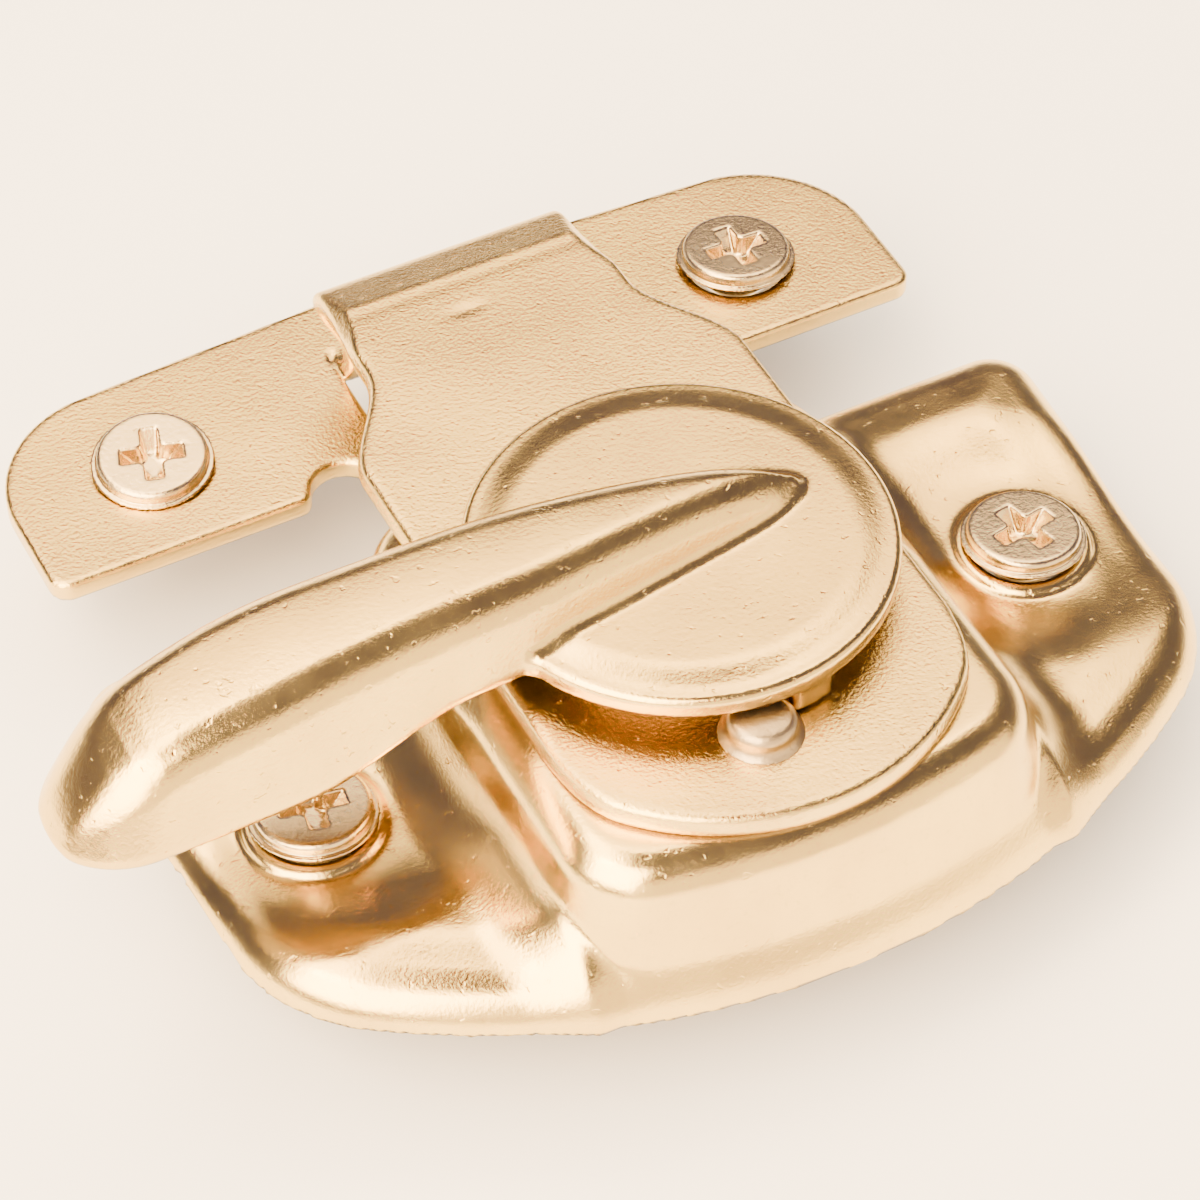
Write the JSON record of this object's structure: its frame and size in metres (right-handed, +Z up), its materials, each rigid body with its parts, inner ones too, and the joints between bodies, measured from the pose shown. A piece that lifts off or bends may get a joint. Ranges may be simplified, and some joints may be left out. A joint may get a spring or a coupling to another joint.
{
  "type": "window sash lock",
  "caption": "Sash window lock: a folded strip plate with a turning lever and cam laps over a drawn D-shaped base and hooks under its raised block.",
  "frame": {"origin": "midway between the two base screws, on the mounting plane", "axes": "+X along the sash rail, +Y from the base towards the strip on the other sash, +Z up out of the rail"},
  "size_m": [0.0819, 0.0691, 0.0296],
  "materials": {
    "plated_steel": "satin brass plated pressed steel",
    "plated_casting": "satin brass plated zinc casting",
    "plated_screw": "bright brass plated screws",
    "zinc_steel": "zinc plated steel"
  },
  "bodies": {
    "lock_halves": {"base_shell": "plated_steel", "bridge_plate": "plated_steel", "stop_pin": "plated_steel", "base_screw_left": "plated_screw", "base_screw_right": "plated_screw", "strip_screw_left": "plated_screw", "strip_screw_right": "plated_screw"},
    "lever_and_cam": {"lever": "plated_casting", "pivot_rivet": "zinc_steel", "cam": "zinc_steel", "cam_washer": "zinc_steel", "spring_washer": "zinc_steel"}
  },
  "joints": [
    {"name": "lever_turn", "type": "hinge", "parent": "lock_halves", "child": "lever_and_cam", "pos_m": [0, 0, 0.0113], "axis": [0, 0, 1], "range_deg": [0, 180]}
  ]
}
